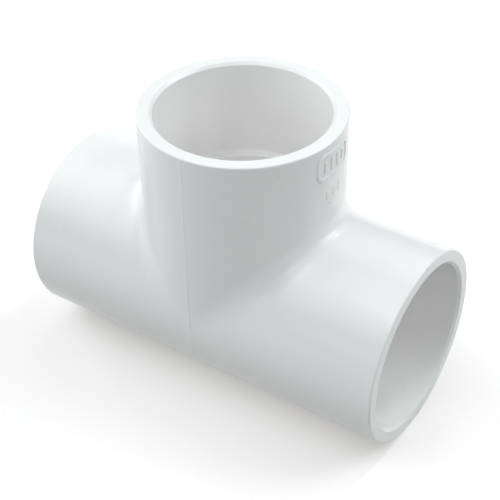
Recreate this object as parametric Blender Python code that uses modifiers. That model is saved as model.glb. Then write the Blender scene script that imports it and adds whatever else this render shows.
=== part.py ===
"""Solvent-weld pipe tee, 2 inch nominal, moulded in one piece.

The run lies along X and the branch points up along Z. The origin is on the surface
that the run rests on, straight below the branch. Sizes are in metres.
"""
from math import pi

import bmesh
import bpy
from mathutils import Matrix

# Outside of the moulding
HUB_RADIUS = 0.0357
RUN_LENGTH = 0.1444
BRANCH_HEIGHT = 0.0720          # from the run's axis to the branch's rim
CROTCH_FILLET = 0.0055          # radius of the blend where branch meets run
RIM_ROUND = 0.0006              # radius on the outer edge of each rim

# The three pipe sockets and the waterway between them
SOCKET_MOUTH_RADIUS = 0.03031
SOCKET_FLOOR_RADIUS = 0.03009   # the socket tapers, so that the pipe wedges
SOCKET_DEPTH = 0.0370
MOUTH_CHAMFER = 0.0010
WATERWAY_RADIUS = 0.0276

# How finely the round shapes are divided
FACETS = 96
ROUNDING_STEPS = 4

AXIS_HEIGHT = HUB_RADIUS        # the run rests on the ground
HALF_RUN = RUN_LENGTH / 2
OVERLAP = 0.002                 # how far a cutter reaches past what it opens
WELD = 1e-6                     # points closer than this are one
SHARP_ANGLE = 0.6               # edges that turn by more, in radians, are shaded sharp

RUN_DIRECTION = Matrix.Rotation(pi / 2, 4, "Y")


def clear_scene():
    for thing in list(bpy.data.objects):
        bpy.data.objects.remove(thing, do_unlink=True)


def new_collection(name):
    collection = bpy.data.collections.new(name)
    bpy.context.scene.collection.children.link(collection)
    return collection


def white_pvc():
    material = bpy.data.materials.new("white_pvc")
    material.use_nodes = True
    shader = material.node_tree.nodes["Principled BSDF"]
    shader.inputs["Base Color"].default_value = (0.86, 0.87, 0.87, 1.0)
    shader.inputs["Roughness"].default_value = 0.34
    shader.inputs["Metallic"].default_value = 0.0
    shader.inputs["IOR"].default_value = 1.53
    return material


def add_object(name, mesh, collection):
    thing = bpy.data.objects.new(name, mesh)
    collection.objects.link(thing)
    return thing


def mark_as_cutter(cutter):
    cutter.display_type = "WIRE"
    cutter.hide_render = True


def mitred_cylinder(radius, low, high, direction, is_kept):
    """A cylinder along its direction, cut by the two planes at 45 degrees through Y."""
    bm = bmesh.new()
    place = direction @ Matrix.Translation((0, 0, (low + high) / 2))
    bmesh.ops.create_cone(bm, cap_ends=True, segments=FACETS, radius1=radius,
                          radius2=radius, depth=high - low, matrix=place)
    for slope in (1, -1):
        upper = [face for face in bm.faces if face.calc_center_median().z > -WELD]
        edges = {edge for face in upper for edge in face.edges}
        verts = {vert for face in upper for vert in face.verts}
        bmesh.ops.bisect_plane(bm, geom=upper + list(edges) + list(verts), dist=WELD,
                               plane_co=(0, 0, 0), plane_no=(slope, 0, -1))
    lost = [face for face in bm.faces if not is_kept(face.calc_center_median())]
    bmesh.ops.delete(bm, geom=lost, context="FACES")
    mesh = bpy.data.meshes.new("mitred cylinder")
    bm.to_mesh(mesh)
    bm.free()
    return mesh


def mitred_tee(name, radius, half_run, branch_height):
    """A solid tee of one radius. Run and branch meet in a mitre and share its vertices."""
    run = mitred_cylinder(radius, -half_run, half_run, RUN_DIRECTION,
                          lambda centre: centre.z < abs(centre.x))
    branch = mitred_cylinder(radius, 0, branch_height, Matrix(),
                             lambda centre: centre.z > abs(centre.x))
    bm = bmesh.new()
    for half in (run, branch):
        bm.from_mesh(half)
        bpy.data.meshes.remove(half)
    bmesh.ops.remove_doubles(bm, verts=bm.verts, dist=WELD)
    bmesh.ops.recalc_face_normals(bm, faces=bm.faces)
    mesh = bpy.data.meshes.new(name)
    bm.to_mesh(mesh)
    bm.free()
    return mesh


def edge_radius(ends):
    """The radius that an outside edge is rounded to, from where its two ends are.

    In the crotch it fades to the front and the back. A ball of fixed size that rolls
    along there touches both cylinders at a distance from the mitre that falls with the
    mitre's own distance from the plane x = 0.
    """
    middle = (ends[0] + ends[1]) / 2
    if all(abs(end.z - abs(end.x)) < WELD for end in ends):
        return CROTCH_FILLET * abs(middle.x) / HUB_RADIUS
    on_rim = abs(middle.x) > HALF_RUN - WELD or middle.z > BRANCH_HEIGHT - WELD
    return RIM_ROUND if on_rim else 0.0


def round_edges(body):
    """Round the crotch and the rims with one bevel, whose width each edge scales."""
    weights = body.data.attributes.new("bevel_weight_edge", "FLOAT", "EDGE")
    for edge in body.data.edges:
        ends = [body.data.vertices[index].co for index in edge.vertices]
        weights.data[edge.index].value = edge_radius(ends) / CROTCH_FILLET
    rounding = body.modifiers.new("rounded edges", "BEVEL")
    rounding.limit_method = "WEIGHT"
    rounding.width = CROTCH_FILLET
    rounding.segments = ROUNDING_STEPS


def socket_cutter(name, collection):
    """The turned core of one socket, mouth up, with the mouth at z = 0."""
    slope = (SOCKET_MOUTH_RADIUS - SOCKET_FLOOR_RADIUS) / SOCKET_DEPTH
    throat = SOCKET_MOUTH_RADIUS - slope * MOUTH_CHAMFER
    lip = throat + MOUTH_CHAMFER
    outline = [(0, OVERLAP), (lip + OVERLAP, OVERLAP), (throat, -MOUTH_CHAMFER),
               (SOCKET_FLOOR_RADIUS, -SOCKET_DEPTH), (0, -SOCKET_DEPTH)]
    bm = bmesh.new()
    points = [bm.verts.new((radius, 0, height)) for radius, height in outline]
    for upper, lower in zip(points, points[1:]):
        bm.edges.new((upper, lower))
    mesh = bpy.data.meshes.new(name)
    bm.to_mesh(mesh)
    bm.free()
    cutter = add_object(name, mesh, collection)
    turning = cutter.modifiers.new("turned", "SCREW")
    turning.axis = "Z"
    turning.steps = FACETS
    turning.render_steps = FACETS
    turning.use_merge_vertices = True
    turning.merge_threshold = WELD
    mark_as_cutter(cutter)
    return cutter


def cut(body, cutter):
    difference = body.modifiers.new(cutter.name, "BOOLEAN")
    difference.operation = "DIFFERENCE"
    difference.solver = "EXACT"
    difference.object = cutter


def build_cutters(collection, axis):
    """One core for each socket, and the waterway that joins them."""
    left = socket_cutter("left socket core", collection)
    left.matrix_world = axis @ Matrix.Translation((-HALF_RUN, 0, 0)) @ RUN_DIRECTION.inverted()
    right = socket_cutter("right socket core", collection)
    right.matrix_world = axis @ Matrix.Translation((HALF_RUN, 0, 0)) @ RUN_DIRECTION
    top = socket_cutter("branch socket core", collection)
    top.matrix_world = axis @ Matrix.Translation((0, 0, BRANCH_HEIGHT))
    half_waterway = HALF_RUN - SOCKET_DEPTH + OVERLAP
    waterway_height = BRANCH_HEIGHT - SOCKET_DEPTH + OVERLAP
    mesh = mitred_tee("waterway core", WATERWAY_RADIUS, half_waterway, waterway_height)
    waterway = add_object("waterway core", mesh, collection)
    waterway.matrix_world = axis
    mark_as_cutter(waterway)
    return [left, right, top, waterway]


def shade(mesh):
    mesh.shade_smooth()
    mesh.set_sharp_from_angle(angle=SHARP_ANGLE)


def build_tee():
    parts = new_collection("tee_fitting")
    cores = new_collection("cutters")
    axis = Matrix.Translation((0, 0, AXIS_HEIGHT))
    mesh = mitred_tee("tee_body", HUB_RADIUS, HALF_RUN, BRANCH_HEIGHT)
    mesh.materials.append(white_pvc())
    shade(mesh)
    body = add_object("tee_body", mesh, parts)
    body.matrix_world = axis
    round_edges(body)
    for core in build_cutters(cores, axis):
        cut(body, core)


clear_scene()
build_tee()
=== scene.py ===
"""The visual model of the pipe tee: one glossy white moulding on a pale floor."""

from math import cos, pi, radians, sin

import bmesh
import bpy
import numpy as np
from mathutils import Matrix, Vector


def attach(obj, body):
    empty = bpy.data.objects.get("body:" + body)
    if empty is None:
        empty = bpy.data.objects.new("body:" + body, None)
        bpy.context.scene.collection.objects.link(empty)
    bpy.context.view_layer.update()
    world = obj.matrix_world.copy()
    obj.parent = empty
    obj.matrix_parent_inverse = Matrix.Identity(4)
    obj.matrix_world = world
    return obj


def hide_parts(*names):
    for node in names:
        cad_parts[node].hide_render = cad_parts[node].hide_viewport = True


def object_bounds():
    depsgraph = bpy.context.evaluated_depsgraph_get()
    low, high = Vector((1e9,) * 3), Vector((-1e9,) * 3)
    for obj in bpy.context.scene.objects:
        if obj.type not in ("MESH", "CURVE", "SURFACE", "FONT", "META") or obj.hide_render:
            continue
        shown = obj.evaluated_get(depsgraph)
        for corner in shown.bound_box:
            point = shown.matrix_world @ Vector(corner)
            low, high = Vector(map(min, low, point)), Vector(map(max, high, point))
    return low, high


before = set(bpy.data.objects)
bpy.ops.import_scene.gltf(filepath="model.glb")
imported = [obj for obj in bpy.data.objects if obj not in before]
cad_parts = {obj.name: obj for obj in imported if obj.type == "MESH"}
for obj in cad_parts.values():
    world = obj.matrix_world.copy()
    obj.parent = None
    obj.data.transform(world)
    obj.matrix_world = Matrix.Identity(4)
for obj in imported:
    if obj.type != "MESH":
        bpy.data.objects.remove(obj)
cad_low, cad_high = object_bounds()

# Driving sizes, in metres, from the frame
HUB_RADIUS = (cad_high.y - cad_low.y) / 2
HALF_RUN = cad_high.x
AXIS_HEIGHT = cad_low.z + HUB_RADIUS
BRANCH_HEIGHT = cad_high.z - AXIS_HEIGHT       # from the run's axis to the branch's rim

# Sizes of the moulding
SOCKET_MOUTH_RADIUS = 0.03031
SOCKET_FLOOR_RADIUS = 0.03009
SOCKET_DEPTH = 0.0370
MOUTH_CHAMFER = 0.0010
WATERWAY_RADIUS = 0.0276
CROTCH_FILLET = 0.0068         # outside, in the crotch at each side of the branch
CROTCH_SPREAD = 1.0            # how much wider the fillet grows away from there
CROTCH_EASE = 2.6              # 2 makes the fillet a circle, and more eases it into the skins
CROTCH_FADE = 0.4              # it fades out at the front and back, later if this is lower
WATERWAY_FILLET = 0.0010
RIM_ROUND = 0.0006
LIP_ROUND = 0.00035
STOP_ROUND = 0.0008
SOCKET_CORNER_ROUND = 0.0008

# The parting line, a fine ridge all round in the plane x = 0
SEAM_HEIGHT = 0.00010
SEAM_WIDTH = 0.00042
SEAM_WANDER = 0.00008
SEAM_WAVES = (0.0052, 0.0019)  # metres per radian of the two waves it wanders in
SEAM_UNEVENNESS = 0.2          # how much its height follows them

# The raised mark on the branch, which faces +X: a rounded frame with bars in it
MARK_DEPTH = 0.0080            # of the frame's centre, below the rim
MARK_WIDTH = 0.0172
MARK_TALL = 0.0088
MARK_CORNER = 0.0026
MARK_STROKE = 0.0012
MARK_RELIEF = 0.00040
MARK_FAINT_RELIEF = 0.00022    # of the small bars below the frame
MARK_SOFTNESS = 0.00038
MARK_BARS = ((-0.0051, 0.0040), (-0.0017, 0.0050), (0.0017, 0.0050), (0.0051, 0.0040))
SMALL_BARS = (-0.0036, 0.0, 0.0036)
SMALL_BAR_TALL = 0.0032
SMALL_BAR_DEPTH = 0.0118       # below the frame's centre
DASH_WIDTH = 0.0044
DASH_DEPTH = 0.0157            # below the frame's centre

# How finely the surface is divided
FINE_STEP = 0.00017            # on the raised mark
FINE_MARGIN = 0.0015           # how far the fine part reaches past the mark, on each side
COARSE_STEP = 0.0016
SEAM_STEP = 0.00012
SEAM_STEPS = 8
STEP_GROWTH = 1.35
ARC_STEPS = 5
ARC_MARGIN = 0.5               # how far outside each arc a row lies, over the arc's reach
CROTCH_STEPS = 20
SKIN_START = 0.0270            # depth below a rim where the outer rings end
WATERWAY_START = 0.0420        # depth below a rim where the inner rings end
WELD = 1e-7

# The textures: each scale is in cells per metre, and each detail is in octaves of noise
NOISE_RANGE = (0.3, 0.7)       # the part of a noise texture's values that is spread out
PLAIN_DETAIL = 2.0

# The plastic
PVC_SHADE = (0.928, 0.911, 0.897, 1.0)
PVC_BRIGHT = (0.944, 0.927, 0.913, 1.0)
DUST = (0.45, 0.44, 0.42, 1.0)
MOTTLE_SCALE = 45.0
SMUDGE_SCALE = 110.0
SMUDGE_DETAIL = 5.0
SMUDGE_RANGE = (0.66, 0.78)    # noise values where a smudge starts and is full
SMUDGE_STRENGTH = 0.06
SPOTS = (38.0, 0.015, 0.034, 0.16)      # scale, size of the core and of the edge, strength
SPECKS = (120.0, 0.020, 0.045, 0.35)
DULLNESS_SCALE = 60.0
DULLNESS_DETAIL = 6.0
DULLNESS = (0.30, 0.38)        # roughness, lowest and highest
WAVE_SCALE = 42.0
WAVE_DETAIL = 1.0
WAVE_HEIGHT = 0.00010
GRAIN_SCALE = 900.0
GRAIN_HEIGHT = 0.000006
PVC_IOR = 1.53
COAT_WEIGHT = 0.5
COAT_ROUGHNESS = 0.11

# The floor and the round backdrop are of one paper, which glows, more so farther away
PAPER_SHADE = (0.985, 0.945, 0.928, 1.0)
PAPER_BRIGHT = (0.995, 0.955, 0.938, 1.0)
PAPER_MOTTLE_SCALE = 9.0
PAPER_MOTTLE_DETAIL = 4.0
PAPER_GRAIN_SCALE = 600.0
PAPER_GRAIN_HEIGHT = 0.00002
PAPER_ROUGHNESS = 0.6
PAPER_GLOW = (0.15, 0.7)       # close to the fitting, and far from it
PAPER_GLOW_REACH = (0.5, 1.2)  # how far those two places are from the origin
PAPER_GLOW_COLOUR = (1.0, 0.965, 0.95, 1.0)
FLOOR_REACH = 1.8
BACKDROP_FOOT = 1.1            # radius where its cove leaves the floor
BACKDROP_HEIGHT = 3.0
BACKDROP_SIDES = 96
COVE_RADIUS = 0.6
COVE_STEPS = 11

# The camera: degrees, metres, and a lens in millimetres
CAMERA_AZIMUTH = 34.1
CAMERA_ELEVATION = 38.2
CAMERA_ROLL = -0.88
CAMERA_DISTANCE = 0.4528
CAMERA_LENS = 88.3
CAMERA_CLIP = 0.01
CAMERA_AIM = Vector((-0.0018, 0.0057, AXIS_HEIGHT + 0.0073))

# The lights: soft lamps, round or oval, that all face one point from the same distance
LIGHT_DISTANCE = 1.5
LIGHT_TARGET = Vector((0, 0, 0.05))
LIGHT_COLOUR = (0.947, 1.0, 1.020)
AMBIENT_STRENGTH = 0.295
SOFTBOXES = [                  # name, azimuth, elevation, width, height, watts, roll
    ("left_front_wide", -56, 50, 1.8, 1.8, 7.2),
    ("left_low", -90, 20, 1.1, 1.1, 3.6),
    ("left", -78, 30, 1.3, 1.3, 3.2),
    ("front_low", -11, 12, 0.6, 0.6, 0.9),
    ("front_high", -11, 65, 0.8, 0.8, 2.2),
    ("camera_side", 34, 40, 0.8, 0.8, 2.0),
    ("right_back", 124, 40, 0.8, 0.8, 5.6),
    ("back_wide", 169, 50, 1.8, 1.8, 4.8),
    ("back_left_low", -146, 12, 0.6, 0.6, 0.7),
    ("back_strip", 161, 53, 0.06, 0.30, 2.7, 35),
]


def growing_steps(reach):
    """Distances from the seam up to a reach, fine at first, then coarser."""
    distances, step = [0.0], SEAM_STEP
    while distances[-1] + step < reach:
        distances.append(distances[-1] + step)
        if len(distances) > SEAM_STEPS:
            step = min(step * STEP_GROWTH, COARSE_STEP)
    if reach - distances[-1] < step / 2 and len(distances) > 2:
        distances.pop()
    return np.array(distances + [reach])


def rounded_outline(corners):
    """Points along a polyline whose corners are (depth, radius, rounding)."""
    points = [np.array(corners[0][:2])]
    for before, corner, after in zip(corners, corners[1:], corners[2:]):
        here = np.array(corner[:2])
        back = np.array(before[:2]) - here
        ahead = np.array(after[:2]) - here
        back /= np.linalg.norm(back)
        ahead /= np.linalg.norm(ahead)
        half_angle = np.arccos(np.clip(back @ ahead, -1, 1)) / 2
        reach = corner[2] / np.tan(half_angle)
        inward = (back + ahead) / np.linalg.norm(back + ahead)
        middle = here + inward * corner[2] / sin(half_angle)
        start = here + back * reach
        end = here + ahead * reach
        points.append(start + back * reach * ARC_MARGIN)
        for share in np.linspace(0, 1, ARC_STEPS + 1):
            spoke = (start - middle) * (1 - share) + (end - middle) * share
            points.append(middle + spoke / np.linalg.norm(spoke) * corner[2])
        points.append(end + ahead * reach * ARC_MARGIN)
    points.append(np.array(corners[-1][:2]))
    return points


def divided(points, step):
    """The same polyline with its long straight stretches divided evenly."""
    result = [points[0]]
    for start, end in zip(points, points[1:]):
        count = max(1, round(np.linalg.norm(end - start) / step))
        result += [start + (end - start) * share for share in np.linspace(0, 1, count + 1)[1:]]
    return result


def mouth_outline(outer_step):
    """A mouth's section from the outside, over the rim, down the socket, past the stop."""
    slope = (SOCKET_MOUTH_RADIUS - SOCKET_FLOOR_RADIUS) / SOCKET_DEPTH
    throat = SOCKET_MOUTH_RADIUS - slope * MOUTH_CHAMFER
    outline = rounded_outline([
        (SKIN_START, HUB_RADIUS, 0),
        (0, HUB_RADIUS, RIM_ROUND),
        (0, throat + MOUTH_CHAMFER, LIP_ROUND),
        (MOUTH_CHAMFER, throat, LIP_ROUND),
        (SOCKET_DEPTH, SOCKET_FLOOR_RADIUS, SOCKET_CORNER_ROUND),
        (SOCKET_DEPTH, WATERWAY_RADIUS, STOP_ROUND),
        (WATERWAY_START, WATERWAY_RADIUS, 0),
    ])
    return divided(outline[:2], outer_step) + divided(outline[2:], COARSE_STEP)


def column_angles(fine_width):
    """Angles from -90 to 90 degrees: fine at both ends, and over a width in the middle."""
    half_fine = fine_width / 2 / HUB_RADIUS
    from_seam = growing_steps(HUB_RADIUS * (pi / 2 - half_fine)) / HUB_RADIUS
    upper = pi / 2 - from_seam[::-1]
    count = max(1, round(fine_width / FINE_STEP))
    middle = np.linspace(-half_fine, half_fine, count + 1)[1:-1]
    if not fine_width:
        return np.concatenate([-upper[::-1], upper[1:]])
    return np.concatenate([-upper[::-1], middle, upper])


def on_branch(angles, heights, radius):
    heights = np.broadcast_to(heights, angles.shape)
    return np.stack([radius * np.cos(angles), radius * np.sin(angles), heights], 1)


def on_run(angles, stations, radius):
    stations = np.broadcast_to(stations, angles.shape)
    return np.stack([stations, radius * np.sin(angles), radius * np.cos(angles)], 1)


def crotch_rows(angles, radius, fillet, steps):
    """Rows of the fillet between two equal cylinders, from the branch round to the run.

    In each plane y = constant the two skins are straight lines that meet square, and
    the fillet between them is a quarter of a superellipse.
    """
    away = np.maximum(np.cos(angles), 0)
    reach = fillet * (1 + CROTCH_SPREAD * np.sin(angles) ** 2) * away ** CROTCH_FADE
    centre = radius * away + reach
    rows = []
    for turn in np.linspace(0, pi / 2, steps + 1):
        inward = reach * max(cos(turn), 0) ** (2 / CROTCH_EASE)
        downward = reach * sin(turn) ** (2 / CROTCH_EASE)
        rows.append(np.stack([centre - inward, radius * np.sin(angles), centre - downward], 1))
    return rows


def skin_rows(angles, radius, fillet, steps, branch_start, run_start):
    """Rows down a skin from branch_start, round the crotch, and out to run_start."""
    crotch = crotch_rows(angles, radius, fillet, steps)
    rows = []
    for distance in growing_steps(branch_start)[-2:0:-1]:
        share = distance / branch_start
        heights = branch_start * share + crotch[0][:, 2] * (1 - share)
        rows.append(on_branch(angles, heights, radius))
    rows += crotch
    for distance in growing_steps(run_start)[1:-1]:
        share = distance / run_start
        stations = run_start * share + crotch[-1][:, 0] * (1 - share)
        rows.append(on_run(angles, stations, radius))
    return rows


def side_loop(angles, branch_mouth, run_mouth):
    """All rows of one side of the tee, as a closed loop over both mouths and crotches."""
    rows = skin_rows(angles, HUB_RADIUS, CROTCH_FILLET, CROTCH_STEPS,
                     BRANCH_HEIGHT - SKIN_START, HALF_RUN - SKIN_START)
    rows += [on_run(angles, HALF_RUN - depth, radius) for depth, radius in run_mouth]
    inside = skin_rows(angles, WATERWAY_RADIUS, WATERWAY_FILLET, ARC_STEPS,
                       BRANCH_HEIGHT - WATERWAY_START, HALF_RUN - WATERWAY_START)
    rows += reversed(inside)
    rows += [on_branch(angles, BRANCH_HEIGHT - depth, radius)
             for depth, radius in reversed(branch_mouth)]
    return np.array(rows)


def belly_loop(angles, run_mouth):
    """All rows of the run's lower half, as a closed loop over both mouths."""
    outer = growing_steps(HALF_RUN - SKIN_START)[:-1]
    inner = growing_steps(HALF_RUN - WATERWAY_START)[:-1]
    rows = [on_run(angles, HALF_RUN - depth, radius) for depth, radius in reversed(run_mouth)]
    rows += [on_run(angles, station, HUB_RADIUS) for station in (*outer[::-1], *-outer[1:])]
    rows += [on_run(angles, depth - HALF_RUN, radius) for depth, radius in run_mouth]
    rows += [on_run(angles, station, WATERWAY_RADIUS) for station in (*-inner[::-1], *inner[1:])]
    return np.array(rows) * (1, 1, -1)


def loop_faces(rows, columns, first):
    """Quads of a grid whose last row joins its first."""
    row, column = np.meshgrid(np.arange(rows), np.arange(columns - 1), indexing="ij")
    following = (row + 1) % rows
    corners = [row * columns + column, row * columns + column + 1,
               following * columns + column + 1, following * columns + column]
    return np.stack(corners, -1).reshape(-1, 4) + first


def rounded_box(across, up, width, tall, corner):
    """Distance from the outline of a rounded rectangle, below zero inside it."""
    past_x = np.abs(across) - width / 2 + corner
    past_y = np.abs(up) - tall / 2 + corner
    outside = np.hypot(np.maximum(past_x, 0), np.maximum(past_y, 0))
    return outside + np.minimum(np.maximum(past_x, past_y), 0) - corner


def bar(across, up, centre_x, centre_y, width, tall):
    """Distance from the outline of a round-ended bar."""
    return rounded_box(across - centre_x, up - centre_y, width, tall, min(width, tall) / 2)


def raised(shapes, relief):
    """Height of a group of shapes whose edges are softly rounded."""
    share = np.clip(0.5 - np.minimum.reduce(shapes) / MARK_SOFTNESS, 0, 1)
    return relief * share * share * (3 - 2 * share)


def mark_lift(across, up):
    """Height of the raised mark over the skin, where up is measured from its centre."""
    frame_line = np.abs(rounded_box(across, up, MARK_WIDTH, MARK_TALL, MARK_CORNER))
    shapes = [frame_line - MARK_STROKE / 2]
    for centre, tall in MARK_BARS:
        shapes.append(bar(across, up, centre, 0, MARK_STROKE, tall))
    small = [bar(across, up, 0, -DASH_DEPTH, DASH_WIDTH, MARK_STROKE)]
    for centre in SMALL_BARS:
        small.append(bar(across, up, centre, -SMALL_BAR_DEPTH, MARK_STROKE, SMALL_BAR_TALL))
    return raised(shapes, MARK_RELIEF) + raised(small, MARK_FAINT_RELIEF)


def add_relief(points):
    """Lift the skin's points for the parting line and for the raised mark."""
    x, y, z = points.T
    on_run_skin = np.abs(np.hypot(y, z) - HUB_RADIUS) < WELD
    on_branch_skin = ~on_run_skin & (np.abs(np.hypot(x, y) - HUB_RADIUS) < WELD) & (z > 0)
    slow, quick = SEAM_WAVES
    sway = np.sin((z - y) / slow) + np.sin((z - y) / quick)
    lift = SEAM_HEIGHT * np.exp(-((x - SEAM_WANDER * sway) / SEAM_WIDTH) ** 2)
    lift = lift * (1 + SEAM_UNEVENNESS * sway)
    marked = on_branch_skin & (x > 0)
    up = z - (BRANCH_HEIGHT - MARK_DEPTH)
    lift = lift + np.where(marked, mark_lift(HUB_RADIUS * np.arctan2(y, x), up), 0)
    outward = np.where(on_run_skin[:, None], points * (0, 1, 1), points * (1, 1, 0)) / HUB_RADIUS
    skin = on_run_skin | on_branch_skin
    return points + outward * np.where(skin, lift, 0)[:, None]


def add_object(name, mesh):
    thing = bpy.data.objects.new(name, mesh)
    bpy.context.scene.collection.objects.link(thing)
    return thing


def build_body():
    run_mouth = mouth_outline(COARSE_STEP)
    branch_mouth = mouth_outline(FINE_STEP)
    plain = column_angles(0)
    grids = [
        side_loop(column_angles(MARK_WIDTH + 2 * FINE_MARGIN), branch_mouth, run_mouth),
        side_loop(plain, branch_mouth, run_mouth) * (-1, 1, 1),
        belly_loop(plain, run_mouth),
    ]
    points, faces, count = [], [], 0
    for grid in grids:
        rows, columns = grid.shape[:2]
        faces.append(loop_faces(rows, columns, count))
        points.append(grid.reshape(-1, 3))
        count += rows * columns
    points = add_relief(np.concatenate(points)) + (0, 0, AXIS_HEIGHT)
    mesh = bpy.data.meshes.new("tee_moulding")
    mesh.from_pydata(points.tolist(), [], np.concatenate(faces).tolist())
    bm = bmesh.new()
    bm.from_mesh(mesh)
    bmesh.ops.remove_doubles(bm, verts=bm.verts, dist=WELD)
    bmesh.ops.recalc_face_normals(bm, faces=bm.faces)
    bm.to_mesh(mesh)
    bm.free()
    mesh.shade_smooth()
    mesh.materials.append(white_pvc())
    return add_object("tee_moulding", mesh)


def add_node(tree, kind, inputs, **settings):
    """A shader node whose inputs are plain values, or sockets to link from."""
    node = tree.nodes.new("ShaderNode" + kind)
    for name, value in settings.items():
        setattr(node, name, value)
    for socket, value in inputs.items():
        if isinstance(value, bpy.types.NodeSocket):
            tree.links.new(value, node.inputs[socket])
        else:
            node.inputs[socket].default_value = value
    return node


def add_noise(tree, where, scale, detail=PLAIN_DETAIL):
    inputs = {"Vector": where, "Scale": scale, "Detail": detail}
    return add_node(tree, "TexNoise", inputs).outputs["Fac"]


def add_range(tree, value, low_in, high_in, low_out, high_out):
    ranged = add_node(tree, "MapRange", {"Value": value, "From Min": low_in, "From Max": high_in,
                                         "To Min": low_out, "To Max": high_out})
    return ranged.outputs["Result"]


def add_mix(tree, share, first, second):
    """A colour between two, where the share comes from a texture.

    A Mix node has sockets for every type. Those for colours are inputs 6 and 7, and
    output 2.
    """
    mix = add_node(tree, "Mix", {0: share, 6: first, 7: second}, data_type="RGBA")
    return mix.outputs[2]


def add_spots(tree, where, colour, scale, core, edge, strength):
    """A colour with soft round spots of dust, one in each cell of a Voronoi texture."""
    cells = add_node(tree, "TexVoronoi", {"Vector": where, "Scale": scale}).outputs["Distance"]
    return add_mix(tree, add_range(tree, cells, core, edge, strength, 0.0), colour, DUST)


def add_bump(tree, height, distance, normal=None):
    inputs = {"Height": height, "Distance": distance}
    if normal:
        inputs["Normal"] = normal
    return add_node(tree, "Bump", inputs).outputs["Normal"]


def new_material(name):
    material = bpy.data.materials.new(name)
    material.use_nodes = True
    tree = material.node_tree
    where = add_node(tree, "TexCoord", {}).outputs["Object"]
    return material, tree, where, tree.nodes["Principled BSDF"]


def white_pvc():
    """Injection-moulded PVC: bright, faintly mottled, with a few specks and dull smudges."""
    material, tree, where, shader = new_material("white_pvc")
    mottle = add_range(tree, add_noise(tree, where, MOTTLE_SCALE), *NOISE_RANGE, 0.0, 1.0)
    colour = add_mix(tree, mottle, PVC_SHADE, PVC_BRIGHT)
    smudges = add_noise(tree, where, SMUDGE_SCALE, SMUDGE_DETAIL)
    smudge = add_range(tree, smudges, *SMUDGE_RANGE, 0.0, SMUDGE_STRENGTH)
    colour = add_mix(tree, smudge, colour, DUST)
    colour = add_spots(tree, where, colour, *SPOTS)
    colour = add_spots(tree, where, colour, *SPECKS)
    tree.links.new(colour, shader.inputs["Base Color"])
    dullness = add_noise(tree, where, DULLNESS_SCALE, DULLNESS_DETAIL)
    dullness = add_range(tree, dullness, *NOISE_RANGE, *DULLNESS)
    tree.links.new(dullness, shader.inputs["Roughness"])
    wavy = add_bump(tree, add_noise(tree, where, WAVE_SCALE, WAVE_DETAIL), WAVE_HEIGHT)
    grainy = add_bump(tree, add_noise(tree, where, GRAIN_SCALE), GRAIN_HEIGHT, wavy)
    tree.links.new(grainy, shader.inputs["Normal"])
    shader.inputs["IOR"].default_value = PVC_IOR
    shader.inputs["Coat Weight"].default_value = COAT_WEIGHT
    shader.inputs["Coat Roughness"].default_value = COAT_ROUGHNESS
    return material


def pale_paper():
    """Matt paper, faintly mottled, that glows as if lit from behind.

    Far from the fitting it glows more, so that no horizon shows behind it.
    """
    material, tree, where, shader = new_material("pale_paper")
    mottle = add_noise(tree, where, PAPER_MOTTLE_SCALE, PAPER_MOTTLE_DETAIL)
    mottle = add_range(tree, mottle, *NOISE_RANGE, 0.0, 1.0)
    tree.links.new(add_mix(tree, mottle, PAPER_SHADE, PAPER_BRIGHT), shader.inputs["Base Color"])
    grain = add_bump(tree, add_noise(tree, where, PAPER_GRAIN_SCALE), PAPER_GRAIN_HEIGHT)
    tree.links.new(grain, shader.inputs["Normal"])
    away = add_node(tree, "VectorMath", {"Vector": where}, operation="LENGTH").outputs["Value"]
    glow = add_range(tree, away, *PAPER_GLOW_REACH, *PAPER_GLOW)
    tree.links.new(glow, shader.inputs["Emission Strength"])
    shader.inputs["Emission Color"].default_value = PAPER_GLOW_COLOUR
    shader.inputs["Roughness"].default_value = PAPER_ROUGHNESS
    return material


def direction(azimuth, elevation):
    """Unit vector at an azimuth from -Y towards +X, and an elevation, in degrees."""
    turn, rise = radians(azimuth), radians(elevation)
    return Vector((sin(turn) * cos(rise), -cos(turn) * cos(rise), sin(rise)))


def facing(back, roll):
    """Rotation of a camera or a lamp whose back points along a vector."""
    turn = back.to_track_quat("Z", "Y").to_matrix().to_4x4()
    return (turn @ Matrix.Rotation(radians(roll), 4, "Z")).to_quaternion()


def add_camera():
    data = bpy.data.cameras.new("camera")
    data.lens = CAMERA_LENS
    data.clip_start = CAMERA_CLIP
    camera = add_object("camera", data)
    back = direction(CAMERA_AZIMUTH, CAMERA_ELEVATION)
    camera.location = CAMERA_AIM + back * CAMERA_DISTANCE
    camera.rotation_mode = "QUATERNION"
    camera.rotation_quaternion = facing(back, CAMERA_ROLL)
    bpy.context.scene.camera = camera


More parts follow.
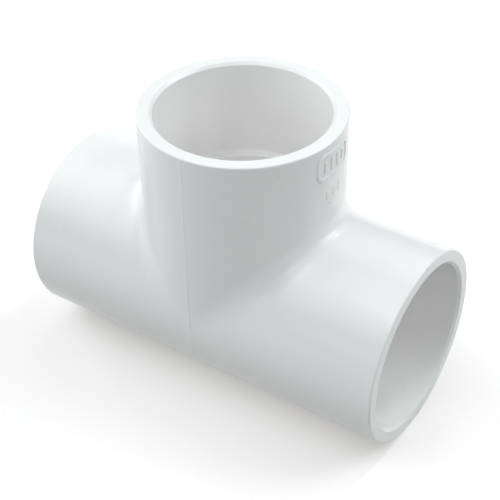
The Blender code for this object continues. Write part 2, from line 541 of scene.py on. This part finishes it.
def add_stage(name, points, faces, material):
    """Part of the set, which no diffuse light bounces off.

    The photographed fitting gets next to no light from the floor, so diffuse rays pass
    through the set and reach the even ambient light behind it.
    """
    mesh = bpy.data.meshes.new(name)
    mesh.from_pydata(points, [], faces)
    mesh.materials.append(material)
    mesh.shade_smooth()
    thing = add_object(name, mesh)
    thing.visible_diffuse = False
    return thing


def add_floor(paper):
    corners = [(-1, -1), (1, -1), (1, 1), (-1, 1)]
    points = [(x * FLOOR_REACH, y * FLOOR_REACH, 0) for x, y in corners]
    add_stage("floor", points, [(0, 1, 2, 3)], paper)


def add_backdrop(paper):
    """A round wall with a coved foot. Some lamps reach behind it, and shine through."""
    turns = np.linspace(0, pi / 2, COVE_STEPS)
    profile = [(BACKDROP_FOOT + COVE_RADIUS * sin(turn), COVE_RADIUS * (1 - cos(turn)))
               for turn in turns]
    profile.append((BACKDROP_FOOT + COVE_RADIUS, BACKDROP_HEIGHT))
    points = [(radius * cos(spoke), radius * sin(spoke), height)
              for spoke in np.linspace(0, 2 * pi, BACKDROP_SIDES, endpoint=False)
              for radius, height in profile]
    faces = loop_faces(BACKDROP_SIDES, len(profile), 0).tolist()
    backdrop = add_stage("backdrop", points, faces, paper)
    backdrop.visible_glossy = False
    backdrop.visible_shadow = False


def add_softbox(name, azimuth, elevation, width, tall, power, roll=0):
    data = bpy.data.lights.new(name, "AREA")
    data.shape = "ELLIPSE"
    data.color = LIGHT_COLOUR
    data.size = width
    data.size_y = tall
    data.energy = power
    light = add_object(name, data)
    back = direction(azimuth, elevation)
    light.location = LIGHT_TARGET + back * LIGHT_DISTANCE
    light.rotation_mode = "QUATERNION"
    light.rotation_quaternion = facing(back, roll)
    light.visible_camera = False


def add_ambient():
    world = bpy.data.worlds.new("world")
    world.use_nodes = True
    background = world.node_tree.nodes["Background"]
    background.inputs["Color"].default_value = (*LIGHT_COLOUR, 1.0)
    background.inputs["Strength"].default_value = AMBIENT_STRENGTH
    bpy.context.scene.world = world


body = build_body()
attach(body, "root")
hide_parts("tee_body")
add_camera()
paper = pale_paper()
add_floor(paper)
add_backdrop(paper)
add_ambient()
for softbox in SOFTBOXES:
    add_softbox(*softbox)
bpy.context.scene.view_settings.view_transform = "Standard"
